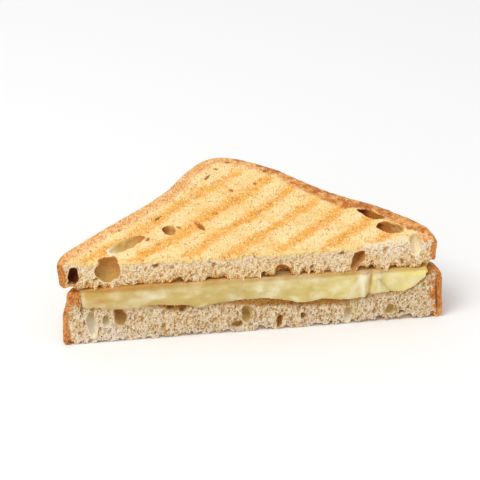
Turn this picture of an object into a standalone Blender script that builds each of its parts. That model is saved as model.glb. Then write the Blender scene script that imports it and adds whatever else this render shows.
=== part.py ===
"""Half of a grilled cheese sandwich: two toasted slices with melted cheese between them.

The sandwich is cut corner to corner. Each slice is lofted whole from its rounded square outline and then
halved on the plane Y = 0, as a knife does it, so the cut face looks along -Y and the two crust sides meet
at the back. The lower slice lies on Z = 0. Metres, +Z up. The finished half is moved at the end, so that
the origin is below the middle of its box.
"""

import math

import bmesh
import bpy
from mathutils import Matrix, Vector

# Driving dimensions
SLICE_SIDE = 0.104
HALF_DIAGONAL = SLICE_SIDE / math.sqrt(2)
LOWER_THICKNESS = 0.0133
CHEESE_THICKNESS = 0.0086
UPPER_THICKNESS = 0.0096
GAP = 0.0005

# The bread's outline: the corner radii, and where its four sides swell or dip as (x, y, height, width)
BACK_RADIUS = 0.0130
LOWER_RADII = (0.0185, 0.0110)  # right, left
UPPER_RADII = (0.0220, 0.0120)
LOWER_SLIP = 0.0006
UPPER_SLIP = -0.0006
SWELLINGS = (
    (-0.0160, 0.0590, 0.0034, 0.0110),
    (-0.0070, 0.0690, 0.0040, 0.0090),
    (0.0165, 0.0570, 0.0016, 0.0100),
    (0.0295, 0.0420, -0.0004, 0.0085),
    (0.0492, 0.0260, 0.0012, 0.0100),
    (-0.0360, 0.0390, -0.0001, 0.0120),
)
ARC_STEPS = 8
SIDE_STEPS = 14

# The crust wall: its two rounded edges and its lean. The shrinks are how far, as shares of the way to the
# middle, the rings of the two faces lie
OUTER_ROUND = 0.0019
INNER_ROUND = 0.0021
WALL_LEAN = 0.0006
ROUND_STEPS = 3
LOWER_OUTER_SHRINKS = (0.30,)
UPPER_OUTER_SHRINKS = (0.10, 0.25, 0.60)
LOWER_INNER_SHRINKS = (0.03, 0.06, 0.09, 0.12, 0.15, 0.19, 0.24, 0.31, 0.38, 0.46, 0.62)
UPPER_INNER_SHRINKS = (0.03, 0.06, 0.09, 0.12, 0.15, 0.19, 0.24, 0.60)

# Pressing leaves the middle thin and the crust thick. The rims are how far each face rises at the crust
RIM_START = 0.0140
RIM_FULL = 0.0055
LOWER_RIM = 0.0008
UPPER_RIM = 0.0034
TOP_RIM = 0.0010

# At the cut's two ends the lower slice rises further: where it starts and is full, as |x|, and how far. On
# the left that ends a little behind the cut
LEFT_CRUST = (0.0612, 0.0662, 0.0058)
LEFT_CRUST_BACK = (0.0015, 0.0065)
RIGHT_CRUST = (0.0525, 0.0640, 0.0066)
PLAIN_END = (0.0400, 0.0600)
LEFT_LIFT = 0.0003
RIGHT_LIFT = 0.0012
LIFT_START = 0.022

# Slopes along x: of everything over the floor, and of the two faces that the cheese touches
LEAN = -0.0140
FLOOR_TILT = -0.010
ROOF_TILT = 0.008

# The melted cheese: its rounded corners, and how far it stands out and hangs down at the cut and at the sides
CHEESE_CORNER = 0.0070
CHEESE_ARC_STEPS = 7
CHEESE_SIDE_STEPS = 20
CHEESE_CUT_STEPS = 25
CHEESE_ROOF_SHRINKS = (0.04, 0.08, 0.12, 0.16, 0.21, 0.64)
CHEESE_FLOOR_SHRINKS = (0.04, 0.08, 0.12, 0.16, 0.21, 0.28, 0.37, 0.48, 0.66)
CUT_LIP = (0.0007, 0.00015)
SIDE_LIP = (0.0011, 0.0014)
DRIPS = (  # x, y, further out, further down, half its length
    (-0.0500, 0.0240, 0.0020, 0.0048, 0.0090),
    (-0.0340, 0.0400, 0.0022, 0.0046, 0.0110),
    (-0.0040, 0.0700, 0.0004, 0.0014, 0.0100),
    (0.0180, 0.0540, 0.0018, 0.0030, 0.0100),
    (0.0400, 0.0330, 0.0020, 0.0046, 0.0130),
    (-0.0470, 0.0000, 0.0006, 0.0010, 0.0070),
    (-0.0200, 0.0000, 0.0006, 0.0011, 0.0080),
    (0.0160, 0.0000, 0.0006, 0.0012, 0.0090),
)
LIP_SECTION = ((0.30, 1.00), (0.78, 0.92), (1.00, 0.66), (0.98, 0.36), (0.78, 0.10), (0.42, 0.00))
BACK_SECTION = ((0.90, 1.0), (0.80, INNER_ROUND + GAP), (0.40, INNER_ROUND / 3))  # share down, deepest
CHEESE_CENTRE = 0.29  # the middle of the cheese, as a share of the way from the cut to the back corner
BACK_LEAN = 0.25
SIDE_NORMAL = (0.3, 0.7)  # where an outward direction turns from the cut's to a crust side's

# The larger air holes that the cut and the toasted face open: x, y, z over the lean, the three radii, and the
# turn and lean in degrees
UPPER_HOLLOWS = (
    (-0.0518, 0.0010, 0.0284, 0.0042, 0.0036, 0.0048, 0, 18),
    (-0.0640, 0.0006, 0.0264, 0.0018, 0.0030, 0.0036, 0, 8),
    (-0.0442, 0.0112, 0.0332, 0.0086, 0.0026, 0.0036, 41, 0),
    (-0.0284, 0.0200, 0.0324, 0.0021, 0.0030, 0.0030, 0, 0),
    (0.0439, 0.0205, 0.0324, 0.0052, 0.0016, 0.0027, -42, 0),
    (0.0489, 0.0108, 0.0324, 0.0047, 0.0028, 0.0034, -40, 0),
    (0.0560, 0.0010, 0.0316, 0.0020, 0.0036, 0.0047, 0, -12),
    (0.0355, 0.0004, 0.0268, 0.0018, 0.0030, 0.0040, 0, 26),
    (0.0092, 0.0004, 0.0222, 0.0032, 0.0032, 0.0040, 0, 0),
)
LOWER_HOLLOWS = (
    (-0.0580, 0.0004, 0.0066, 0.0017, 0.0030, 0.0050, 0, -4),
    (-0.0482, 0.0004, 0.0098, 0.0020, 0.0032, 0.0042, 0, -12),
    (-0.0530, 0.0002, 0.0078, 0.0012, 0.0018, 0.0022, 0, 0),
    (-0.0037, 0.0004, 0.0072, 0.0016, 0.0026, 0.0034, 0, -6),
    (0.0080, 0.0002, 0.0034, 0.0011, 0.0024, 0.0026, 0, 0),
    (0.0327, 0.0002, 0.0042, 0.0013, 0.0022, 0.0032, 0, 0),
    (0.0474, 0.0002, 0.0052, 0.0014, 0.0020, 0.0020, 0, 0),
)
HOLLOW_SEGMENTS = 10
HOLLOW_RINGS = 7

BREAD_COLOUR = (0.80, 0.50, 0.20, 1.0)
CHEESE_COLOUR = (0.86, 0.64, 0.24, 1.0)


def smoothstep(low, high, value):
    share = min(max((value - low) / (high - low), 0.0), 1.0)
    return share * share * (3 - 2 * share)


def mix(first, second, share):
    return first + (second - first) * share


# --- the slices' four faces, as heights over the plane -----------------------------------------------------


def rim_share(x, y):
    """0 in the pressed middle and 1 at the crust, by the distance from the nearest straight side."""
    inside = (HALF_DIAGONAL - abs(x) - abs(y)) / math.sqrt(2)
    return 1 - smoothstep(RIM_FULL, RIM_START, inside)


def lower_outer(x, y):
    return 0.0


def crust_rise(x, start, full, rise):
    """How far a face rises towards one end of the cut."""
    return rise * smoothstep(start, full, x)


def lower_inner(x, y):
    left = crust_rise(-x, *LEFT_CRUST) * (1 - smoothstep(*LEFT_CRUST_BACK, y))
    right = crust_rise(x, *RIGHT_CRUST)
    return LOWER_THICKNESS + (LEAN + FLOOR_TILT) * x + LOWER_RIM * rim_share(x, y) + left + right


def upper_inner(x, y):
    side = UPPER_RIM * rim_share(x, y) * (1 - smoothstep(*PLAIN_END, abs(x)))
    return LOWER_THICKNESS + CHEESE_THICKNESS + (LEAN + ROOF_TILT) * x - side


def upper_outer(x, y):
    level = LOWER_THICKNESS + CHEESE_THICKNESS + UPPER_THICKNESS + LEAN * x + TOP_RIM * rim_share(x, y)
    left = LEFT_LIFT * smoothstep(LIFT_START, HALF_DIAGONAL, -x)
    right = RIGHT_LIFT * smoothstep(LIFT_START, HALF_DIAGONAL, x)
    return level + left + right


# --- outlines ----------------------------------------------------------------------------------------------


def swelling(point):
    return sum(
        height * math.exp(-((point.x - x) ** 2 + (point.y - y) ** 2) / width**2)
        for x, y, height, width in SWELLINGS
    )


def rounded_outline(corners):
    """A polygon with rounded corners, counterclockwise, as (point, outward normal) pairs.

    Each corner is (its place, its radius, steps round it, steps along the side that leaves it)."""
    count = len(corners)
    arcs = []
    for index, (place, radius, arc_steps, side_steps) in enumerate(corners):
        before = (place - corners[index - 1][0]).normalized()
        after = (corners[(index + 1) % count][0] - place).normalized()
        turn = math.acos(before.dot(after))
        reach = radius * math.tan(turn / 2)
        middle = place - before * reach + Vector((-before.y, before.x)) * radius
        arc = []
        for step in range(arc_steps + 1):
            normal = Matrix.Rotation(turn * step / arc_steps, 2) @ Vector((before.y, -before.x))
            arc.append((middle + normal * radius, normal))
        arcs.append((arc, side_steps))
    stations = []
    for index, (arc, side_steps) in enumerate(arcs):
        stations += arc
        start, normal = arc[-1]
        end = arcs[(index + 1) % count][0][0][0]
        stations += [(start.lerp(end, step / side_steps), normal) for step in range(1, side_steps)]
    return [(point + normal * swelling(point), normal) for point, normal in stations]


def slice_outline(radii):
    """The whole slice. Its front half, which the knife takes away, is plain."""
    right, left = radii
    places = ((HALF_DIAGONAL, 0), (0, HALF_DIAGONAL), (-HALF_DIAGONAL, 0), (0, -HALF_DIAGONAL))
    corners = zip(places, (right, BACK_RADIUS, left, BACK_RADIUS))
    return rounded_outline([(Vector(place), radius, ARC_STEPS, SIDE_STEPS) for place, radius in corners])


def cheese_outline():
    """The cheese follows the crust sides and the cut, and its corners stop short of the cut's two ends."""
    return rounded_outline([
        (Vector((HALF_DIAGONAL, 0)), CHEESE_CORNER, CHEESE_ARC_STEPS, CHEESE_SIDE_STEPS),
        (Vector((0, HALF_DIAGONAL)), BACK_RADIUS, ARC_STEPS, CHEESE_SIDE_STEPS),
        (Vector((-HALF_DIAGONAL, 0)), CHEESE_CORNER, CHEESE_ARC_STEPS, CHEESE_CUT_STEPS),
    ])


# --- lofting -----------------------------------------------------------------------------------------------


def loft(rings, first_tip, last_tip):
    """A closed skin over rings of equally many points, shut by a fan to a tip at each end."""
    mesh = bmesh.new()
    loops = [[mesh.verts.new(point) for point in ring] for ring in rings]
    for loop, following in zip(loops, loops[1:]):
        for index, corner in enumerate(loop):
            before = index - 1
            mesh.faces.new((loop[before], corner, following[index], following[before]))
    for loop, tip in ((loops[0], first_tip), (loops[-1], last_tip)):
        middle = mesh.verts.new(tip)
        for index, corner in enumerate(loop):
            mesh.faces.new((loop[index - 1], corner, middle))
    bmesh.ops.recalc_face_normals(mesh, faces=mesh.faces)
    return mesh


def slice_rings(radii, outer, outer_shrinks, inner, inner_shrinks, slip):
    """Rings from the middle of the toasted face, round the crust, to the middle of the inner face."""
    outline = slice_outline(radii)
    inwards = math.copysign(1.0, inner(0, 0) - outer(0, 0))

    def ring(face, inset, depth, shrink=0.0):
        points = []
        for station, normal in outline:
            x, y = (station - normal * inset) * (1 - shrink)
            points.append(Vector((x + slip, y, face(x + slip, y) + depth)))
        return points

    angles = [math.pi / 2 * step / ROUND_STEPS for step in range(ROUND_STEPS + 1)]
    rings = [ring(outer, OUTER_ROUND, 0.0, shrink) for shrink in reversed(outer_shrinks)]
    for angle in angles:
        inset = OUTER_ROUND * (1 - math.sin(angle))
        rings.append(ring(outer, inset, inwards * OUTER_ROUND * (1 - math.cos(angle))))
    for angle in reversed(angles):
        inset = WALL_LEAN + INNER_ROUND * (1 - math.sin(angle))
        rings.append(ring(inner, inset, -inwards * INNER_ROUND * (1 - math.cos(angle))))
    return rings + [ring(inner, WALL_LEAN + INNER_ROUND, 0.0, shrink) for shrink in inner_shrinks]


def half_slice(radii, outer, outer_shrinks, inner, inner_shrinks, slip):
    """A whole slice, cut through on the plane Y = 0 and closed with one flat face."""
    rings = slice_rings(radii, outer, outer_shrinks, inner, inner_shrinks, slip)
    mesh = loft(rings, Vector((slip, 0, outer(slip, 0))), Vector((slip, 0, inner(slip, 0))))
    bmesh.ops.bisect_plane(
        mesh,
        geom=mesh.verts[:] + mesh.edges[:] + mesh.faces[:],
        dist=1e-6,
        plane_no=(0, 1, 0),
        clear_inner=True,
    )
    bmesh.ops.holes_fill(mesh, edges=[edge for edge in mesh.edges if edge.is_boundary])
    bmesh.ops.recalc_face_normals(mesh, faces=mesh.faces)
    return mesh


# --- the cheese --------------------------------------------------------------------------------------------


def lip_at(station, normal):
    """(how far the cheese stands out, how far its foot hangs down, 1 at a crust side and 0 at the cut)."""
    at_crust = smoothstep(*SIDE_NORMAL, normal.y)
    out = mix(CUT_LIP[0], SIDE_LIP[0], at_crust)
    down = mix(CUT_LIP[1], SIDE_LIP[1], at_crust)
    for x, y, further_out, further_down, length in DRIPS:
        share = math.exp(-((station.x - x) ** 2 + (station.y - y) ** 2) / length**2)
        out += further_out * share
        down += further_down * share
    return out, down, at_crust


def crust_clearance(depth, at_crust):
    """How far out the cheese's back must stay, at a depth below the lower slice's inner face."""
    radius = INNER_ROUND + GAP
    if depth < radius:
        beside_crust = math.sqrt(radius**2 - (radius - depth) ** 2) - INNER_ROUND - WALL_LEAN
    else:
        beside_crust = GAP - WALL_LEAN + min((depth - radius) * BACK_LEAN, WALL_LEAN)
    return mix(GAP, beside_crust, at_crust)


def cheese_rings():
    """Rings from the middle of the cheese's roof, out over its lip and back to the middle of its floor."""
    centre = Vector((0, HALF_DIAGONAL * CHEESE_CENTRE))
    outline = [(point, normal, *lip_at(point, normal)) for point, normal in cheese_outline()]

    def flat_ring(face, offset, shrink):
        points = []
        for station, normal, _, _, _ in outline:
            x, y = (station - normal * (WALL_LEAN + INNER_ROUND)).lerp(centre, shrink)
            x += LOWER_SLIP
            points.append(Vector((x, y, face(x, y) + offset)))
        return points

    def lip_ring(share_out, share_up):
        points = []
        for station, normal, out, down, at_crust in outline:
            back = crust_clearance(down, at_crust)
            x, y = station + normal * mix(back, out, share_out)
            x += LOWER_SLIP
            foot = lower_inner(x, y) + GAP - down
            points.append(Vector((x, y, mix(foot, upper_inner(x, y) - GAP, share_up))))
        return points

    def back_ring(share_down, deepest):
        """The back of the lip, which lies along the lower slice's rounded crust."""
        points = []
        for station, normal, _, down, at_crust in outline:
            depth = min(down * share_down, deepest)
            x, y = station + normal * crust_clearance(depth, at_crust)
            x += LOWER_SLIP
            points.append(Vector((x, y, lower_inner(x, y) + GAP - depth)))
        return points

    roof = [flat_ring(upper_inner, -GAP, shrink) for shrink in reversed((0.0,) + CHEESE_ROOF_SHRINKS)]
    lip = [lip_ring(share_out, share_up) for share_out, share_up in LIP_SECTION]
    back = [back_ring(share_down, deepest) for share_down, deepest in BACK_SECTION]
    floor = [flat_ring(lower_inner, GAP, shrink) for shrink in (0.0,) + CHEESE_FLOOR_SHRINKS]
    return roof + lip + back + floor, centre


def cheese_layer():
    rings, (x, y) = cheese_rings()
    return loft(rings, Vector((x, y, upper_inner(x, y) - GAP)), Vector((x, y, lower_inner(x, y) + GAP)))


# --- objects -----------------------------------------------------------------------------------------------


def new_object(name, mesh, collection):
    data = bpy.data.meshes.new(name)
    mesh.to_mesh(data)
    mesh.free()
    made = bpy.data.objects.new(name, data)
    collection.objects.link(made)
    return made


def new_material(name, colour, roughness):
    material = bpy.data.materials.new(name)
    material.use_nodes = True
    shader = material.node_tree.nodes["Principled BSDF"]
    shader.inputs["Base Color"].default_value = colour
    shader.inputs["Roughness"].default_value = roughness
    shader.inputs["Metallic"].default_value = 0.0
    return material


def new_part(name, mesh, colour, roughness, collection):
    part = new_object(name, mesh, collection)
    part.data.materials.append(new_material(name + "_material", colour, roughness))
    part.data.shade_smooth()
    part.data.set_sharp_from_angle(angle=math.radians(40))
    return part


def open_hollows(part, hollows, collection):
    """Cuts ellipsoid air holes into a slice with one cutter."""
    mesh = bmesh.new()
    for x, y, z, along, across, tall, turn, lean in hollows:
        turned = Matrix.Rotation(math.radians(turn), 4, "Z") @ Matrix.Rotation(math.radians(lean), 4, "Y")
        stretch = Matrix.Diagonal((along, across, tall, 1.0))
        bmesh.ops.create_uvsphere(
            mesh,
            u_segments=HOLLOW_SEGMENTS,
            v_segments=HOLLOW_RINGS,
            radius=1.0,
            matrix=Matrix.Translation((x, y, z + LEAN * x)) @ turned @ stretch,
        )
    cutter = new_object(part.name + "_hollows", mesh, collection)
    cutter.hide_render = True
    cutter.display_type = "WIRE"
    cut = part.modifiers.new("hollows", "BOOLEAN")
    cut.operation = "DIFFERENCE"
    cut.object = cutter
    return cutter


def stand_on_origin(parts, cutters):
    """Moves everything so that the origin is below the middle of the parts' joint box."""
    corners = [Vector(corner) for part in parts for corner in part.bound_box]
    lows = Vector([min(corner[axis] for corner in corners) for axis in range(3)])
    highs = Vector([max(corner[axis] for corner in corners) for axis in range(3)])
    middle = (lows + highs) / 2
    for moved in parts + cutters:
        moved.location = (-middle.x, -middle.y, -lows.z)


def new_collection(name):
    collection = bpy.data.collections.new(name)
    bpy.context.scene.collection.children.link(collection)
    return collection


def main():
    for old in list(bpy.data.objects):
        bpy.data.objects.remove(old)
    sandwich = new_collection("grilled_cheese_sandwich")
    cutting = new_collection("cutters")

    lower_faces = (lower_outer, LOWER_OUTER_SHRINKS, lower_inner, LOWER_INNER_SHRINKS)
    upper_faces = (upper_outer, UPPER_OUTER_SHRINKS, upper_inner, UPPER_INNER_SHRINKS)
    lower_mesh = half_slice(LOWER_RADII, *lower_faces, LOWER_SLIP)
    upper_mesh = half_slice(UPPER_RADII, *upper_faces, UPPER_SLIP)
    lower = new_part("lower_bread_slice", lower_mesh, BREAD_COLOUR, 0.85, sandwich)
    cheese = new_part("melted_cheese", cheese_layer(), CHEESE_COLOUR, 0.35, sandwich)
    upper = new_part("upper_bread_slice", upper_mesh, BREAD_COLOUR, 0.85, sandwich)

    lower_cutter = open_hollows(lower, LOWER_HOLLOWS, cutting)
    upper_cutter = open_hollows(upper, UPPER_HOLLOWS, cutting)
    stand_on_origin([lower, cheese, upper], [lower_cutter, upper_cutter])


main()
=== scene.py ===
"""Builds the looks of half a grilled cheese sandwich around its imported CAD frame.

Each slice of bread is a fine skin over its CAD solid. The knife's cut opens air cells in the crumb, the grill
leaves stripes on the toast, and the crust is leathery. The cheese is a smooth skin with folds and drips.
"""

import math

import bmesh
import bpy
import numpy as np
from bpy.props import FloatProperty, FloatVectorProperty, IntProperty, PointerProperty
from mathutils import Matrix, Quaternion, Vector
from mathutils.kdtree import KDTree


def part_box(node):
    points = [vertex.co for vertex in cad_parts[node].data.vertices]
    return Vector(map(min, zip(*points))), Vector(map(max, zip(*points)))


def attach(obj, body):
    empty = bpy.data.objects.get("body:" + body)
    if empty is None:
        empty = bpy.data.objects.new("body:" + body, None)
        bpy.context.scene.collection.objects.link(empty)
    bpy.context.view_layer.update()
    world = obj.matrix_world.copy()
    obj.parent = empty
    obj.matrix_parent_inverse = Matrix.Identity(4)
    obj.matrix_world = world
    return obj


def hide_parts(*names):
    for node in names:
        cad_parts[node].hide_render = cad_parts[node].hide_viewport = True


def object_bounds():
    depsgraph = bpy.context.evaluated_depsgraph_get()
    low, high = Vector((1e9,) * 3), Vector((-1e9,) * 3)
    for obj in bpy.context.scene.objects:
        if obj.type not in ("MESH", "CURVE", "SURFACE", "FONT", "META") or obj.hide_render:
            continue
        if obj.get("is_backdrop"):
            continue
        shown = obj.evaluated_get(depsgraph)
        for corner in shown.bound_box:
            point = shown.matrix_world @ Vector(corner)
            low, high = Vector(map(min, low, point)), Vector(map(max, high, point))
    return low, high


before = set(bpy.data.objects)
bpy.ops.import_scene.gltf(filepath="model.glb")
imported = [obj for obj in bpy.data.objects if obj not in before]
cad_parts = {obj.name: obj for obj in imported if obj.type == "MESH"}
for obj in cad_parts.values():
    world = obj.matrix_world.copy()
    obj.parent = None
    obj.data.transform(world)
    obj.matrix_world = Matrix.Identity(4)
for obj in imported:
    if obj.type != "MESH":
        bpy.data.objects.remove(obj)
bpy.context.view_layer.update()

bl_info = {
    "name": "Grilled Cheese Sandwich",
    "version": (1, 0, 0),
    "blender": (4, 5, 0),
    "location": "View3D > Sidebar > Sandwich",
    "description": "Toasted bread, melted cheese and a stage for half a grilled cheese sandwich",
    "category": "Object",
}

# The cut's plane, and the middle of the cut between the two sharp corners that the bread would have
LOWER_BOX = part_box("lower_bread_slice")
UPPER_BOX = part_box("upper_bread_slice")
CHEESE_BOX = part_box("melted_cheese")
CUT = LOWER_BOX[0].y
MIDDLE = LOWER_BOX[1].x - 0.06647

# The bread's faces, as the solids have them
HALF_DIAGONAL = 0.104 / math.sqrt(2)
FLOOR_LEVEL = 0.0133
ROOF_LEVEL = 0.0219
TOP_LEVEL = 0.0315
LEAN = -0.0140
RIM_START = 0.0140
RIM_FULL = 0.0055

# Air holes large enough to be in the solids: across the cut, behind it, height over the lean, the three radii,
# turn and lean in degrees, and how dark the hole is inside (painted shade over its own brown)
UPPER_HOLLOWS = (
    (-0.0518, 0.0010, 0.0284, 0.0042, 0.0036, 0.0048, 0, 18, 0.6),
    (-0.0640, 0.0006, 0.0264, 0.0018, 0.0030, 0.0036, 0, 8, 1.0),
    (-0.0442, 0.0112, 0.0332, 0.0086, 0.0026, 0.0036, 41, 0, 0.36),
    (-0.0284, 0.0200, 0.0324, 0.0021, 0.0030, 0.0030, 0, 0, 0.6),
    (0.0439, 0.0205, 0.0324, 0.0052, 0.0016, 0.0027, -42, 0, 0.78),
    (0.0489, 0.0108, 0.0324, 0.0047, 0.0028, 0.0034, -40, 0, 0.62),
    (0.0560, 0.0010, 0.0316, 0.0020, 0.0036, 0.0047, 0, -12, 0.12),
    (0.0355, 0.0004, 0.0268, 0.0018, 0.0030, 0.0040, 0, 26, 0.66),
    (0.0092, 0.0004, 0.0222, 0.0032, 0.0032, 0.0040, 0, 0, 0.55),
)
LOWER_HOLLOWS = (
    (-0.0580, 0.0004, 0.0066, 0.0017, 0.0030, 0.0050, 0, -4, 0.06),
    (-0.0482, 0.0004, 0.0098, 0.0020, 0.0032, 0.0042, 0, -12, 0.55),
    (-0.0530, 0.0002, 0.0078, 0.0012, 0.0018, 0.0022, 0, 0, 0.2),
    (-0.0037, 0.0004, 0.0072, 0.0016, 0.0026, 0.0034, 0, -6, 0.35),
    (0.0080, 0.0002, 0.0034, 0.0011, 0.0024, 0.0026, 0, 0, 0.7),
    (0.0327, 0.0002, 0.0042, 0.0013, 0.0022, 0.0032, 0, 0, 0.12),
    (0.0474, 0.0002, 0.0052, 0.0014, 0.0020, 0.0020, 0, 0, 0.28),
)

# Smaller holes in the cut face: across, height over the lean, the two radii, turn in degrees, and how dark (painted
# shade)
UPPER_CUT_HOLES = (
    (0.0515, 0.0246, 0.0008, 0.0012, 10, 0.4),
    (0.0195, 0.0245, 0.0007, 0.0012, -15, 0.4),
    (0.0025, 0.0228, 0.0010, 0.0011, 0, 0.5),
    (-0.0350, 0.0290, 0.0013, 0.0010, 30, 0.5),
    (-0.0560, 0.0250, 0.0010, 0.0008, 20, 0.3),
    (-0.0148, 0.0280, 0.0009, 0.0010, 0, 0.4),
    (0.0300, 0.0295, 0.0012, 0.0008, 0, 0.3),
    (0.0455, 0.0297, 0.0009, 0.0017, -10, 0.2),
)
LOWER_CUT_HOLES = (
    (-0.0261, 0.0112, 0.0015, 0.0018, 0, 0.6),
    (0.0517, 0.0036, 0.0010, 0.0012, 0, 0.3),
    (-0.0067, 0.0030, 0.0021, 0.0016, 10, 0.5),
    (0.0165, 0.0048, 0.0010, 0.0014, 0, 0.4),
    (0.0420, 0.0050, 0.0009, 0.0012, 0, 0.3),
    (-0.0305, 0.0122, 0.0012, 0.0014, 15, 0.6),
    (0.0642, 0.0095, 0.0004, 0.0078, 3, 0.9),
)

# Slits and dents in the toasted face: across, behind, the two radii, turn in degrees, depth
TOP_SLITS = (
    (-0.0110, 0.0558, 0.0030, 0.0005, 45, 0.0009),
    (-0.0308, 0.0292, 0.0032, 0.0005, 50, 0.0009),
    (-0.0168, 0.0218, 0.0042, 0.0010, -70, 0.0010),
    (-0.0244, 0.0218, 0.0011, 0.0008, 50, 0.0006),
    (-0.0365, 0.0150, 0.0015, 0.0007, 60, 0.0007),
    (-0.0106, 0.0306, 0.0015, 0.0006, 30, 0.0006),
    (-0.0455, 0.0205, 0.0012, 0.0007, 45, 0.0008),
    (0.0118, 0.0575, 0.0032, 0.0009, -38, 0.0012),
    (0.0248, 0.0418, 0.0032, 0.0004, -62, 0.0006),
    (0.0442, 0.0252, 0.0018, 0.0005, -50, 0.0010),
    (0.0512, 0.0172, 0.0016, 0.0007, -60, 0.0014),
    (0.0590, 0.0066, 0.0022, 0.0004, -60, 0.0008),
    (-0.0068, 0.0620, 0.0014, 0.0011, 0, 0.0005),
    (-0.0020, 0.0660, 0.0016, 0.0010, -30, 0.0006),
    (0.0062, 0.0505, 0.0014, 0.0007, -20, 0.0006),
    (-0.0030, 0.0466, 0.0018, 0.0007, -40, 0.0007),
    (-0.0570, 0.0075, 0.0007, 0.0005, 60, 0.0006),
)


def tint(red, green, blue):
    """A display colour from 0 to 255 as the linear colour that a shader takes."""
    shares = np.array((red, green, blue)) / 255
    linear = np.where(shares <= 0.04045, shares / 12.92, ((shares + 0.055) / 1.055) ** 2.4)
    return (*(float(value) for value in linear), 1.0)


# --- settings ---------------------------------------------------------------------------------------------------


class CrumbSettings(bpy.types.PropertyGroup):
    skin_step: FloatProperty(
        name="Skin step", description="Size of the skin's squares", default=0.00038, unit="LENGTH"
    )
    fine_radius: FloatProperty(
        name="Fine cells", description="Radius of the finest open air cells", default=0.00020, unit="LENGTH"
    )
    coarse_radius: FloatProperty(
        name="Coarse cells", description="Radius of the coarser open air cells", default=0.00038, unit="LENGTH"
    )
    cell_seed: IntProperty(name="Cell seed", description="Another number scatters other cells", default=7)
    pale: FloatVectorProperty(
        name="Crumb", description="Colour of the cell walls", subtype="COLOR", size=4, default=tint(255, 228, 177)
    )
    deep: FloatVectorProperty(
        name="Deep crumb", description="Colour down in the cells", subtype="COLOR", size=4,
        default=tint(208, 153, 68),
    )


class ToastSettings(bpy.types.PropertyGroup):
    stripe_pitch: FloatProperty(
        name="Stripe pitch", description="From one grill stripe to the next", default=0.0118, unit="LENGTH"
    )
    stripe_depth: FloatProperty(
        name="Stripe depth", description="How deep the grill presses its stripes", default=0.00025, unit="LENGTH"
    )
    pale: FloatVectorProperty(
        name="Pale toast", description="Colour between the stripes", subtype="COLOR", size=4,
        default=tint(255, 224, 160),
    )
    golden: FloatVectorProperty(
        name="Golden toast", description="Colour of the stripes", subtype="COLOR", size=4,
        default=tint(245, 172, 60),
    )
    burnt: FloatVectorProperty(
        name="Burnt toast", description="Colour of the darkest spots", subtype="COLOR", size=4,
        default=tint(226, 142, 58),
    )
    crust: FloatVectorProperty(
        name="Crust", description="Colour of the crust sides", subtype="COLOR", size=4,
        default=tint(184, 108, 60),
    )


class CheeseSettings(bpy.types.PropertyGroup):
    skin_step: FloatProperty(
        name="Skin step", description="Size of the skin's squares", default=0.00046, unit="LENGTH"
    )
    yellow: FloatVectorProperty(
        name="Cheese", description="Colour of the melted cheese", subtype="COLOR", size=4,
        default=tint(212, 188, 116),
    )
    milky: FloatVectorProperty(
        name="Milky cheese", description="Colour of its paler streaks", subtype="COLOR", size=4,
        default=tint(228, 212, 160),
    )
    roughness: FloatProperty(
        name="Roughness", description="How dull the cheese is", default=0.42, min=0, max=1, subtype="FACTOR"
    )


class StageSettings(bpy.types.PropertyGroup):
    azimuth: FloatProperty(
        name="Azimuth", description="Where the camera stands, from the cut's front", default=math.radians(-7.0),
        subtype="ANGLE",
    )
    elevation: FloatProperty(
        name="Elevation", description="How high the camera looks down", default=math.radians(30.1),
        subtype="ANGLE",
    )
    roll: FloatProperty(
        name="Roll", description="How far the camera leans to one side", default=math.radians(-0.64),
        subtype="ANGLE",
    )
    distance: FloatProperty(
        name="Distance", description="From the camera to the sandwich", default=0.868, unit="LENGTH"
    )
    sky: FloatProperty(name="Sky", description="Brightness of the white surroundings", default=0.66)
    key_power: FloatProperty(
        name="Key light", description="Power of the large lamp above", default=7.4, unit="POWER"
    )


# --- shapes in numbers ------------------------------------------------------------------------------------------


def smoothstep(low, high, values):
    share = np.clip((values - low) / (high - low), 0, 1)
    return share * share * (3 - 2 * share)


def bump(values, centre, reach):
    """1 at the centre, fading to nothing past its reach."""
    return np.exp(-(((values - centre) / reach) ** 2))


class Noise:
    """Smooth, repeatable noise in space, from -1 to 1."""

    def __init__(self, seed):
        self.table = np.random.default_rng(seed).random(4096) * 2 - 1

    def __call__(self, points, cell):
        scaled = points / np.asarray(cell)
        corner = np.floor(scaled).astype(np.int64)
        share = scaled - corner
        share = share * share * (3 - 2 * share)
        total = np.zeros(len(points))
        for index in range(8):
            step = np.array([index & 1, index >> 1 & 1, index >> 2 & 1])
            x, y, z = (corner + step).T
            slot = (x * 73856093 ^ y * 19349663 ^ z * 83492791) & 4095
            total += self.table[slot] * np.where(step, share, 1 - share).prod(axis=1)
        return total

    def fractal(self, points, cell, octaves=3):
        cell = np.asarray(cell)
        return sum(self(points + octave * 0.37, cell / 2**octave) / 2**octave for octave in range(octaves))

    def along(self, values, cell):
        """Noise that changes along one direction only."""
        return self(np.column_stack((values, np.zeros_like(values), np.zeros_like(values))), cell)


def rim_share(across, behind):
    inside = (HALF_DIAGONAL - np.abs(across) - np.abs(behind)) / math.sqrt(2)
    return 1 - smoothstep(RIM_FULL, RIM_START, inside)


def lower_inner(across, behind):
    left = 0.0058 * smoothstep(0.0612, 0.0662, -across) * (1 - smoothstep(0.0015, 0.0065, behind))
    right = 0.0066 * smoothstep(0.0525, 0.0640, across)
    return FLOOR_LEVEL + (LEAN - 0.010) * across + 0.0008 * rim_share(across, behind) + left + right


def upper_inner(across, behind):
    side = 0.0034 * rim_share(across, behind) * (1 - smoothstep(0.040, 0.060, np.abs(across)))
    return ROOF_LEVEL + (LEAN + 0.008) * across - side


def upper_outer(across, behind):
    left = 0.0003 * smoothstep(0.022, HALF_DIAGONAL, -across)
    right = 0.0012 * smoothstep(0.022, HALF_DIAGONAL, across)
    return TOP_LEVEL + LEAN * across + 0.0010 * rim_share(across, behind) + left + right


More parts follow.
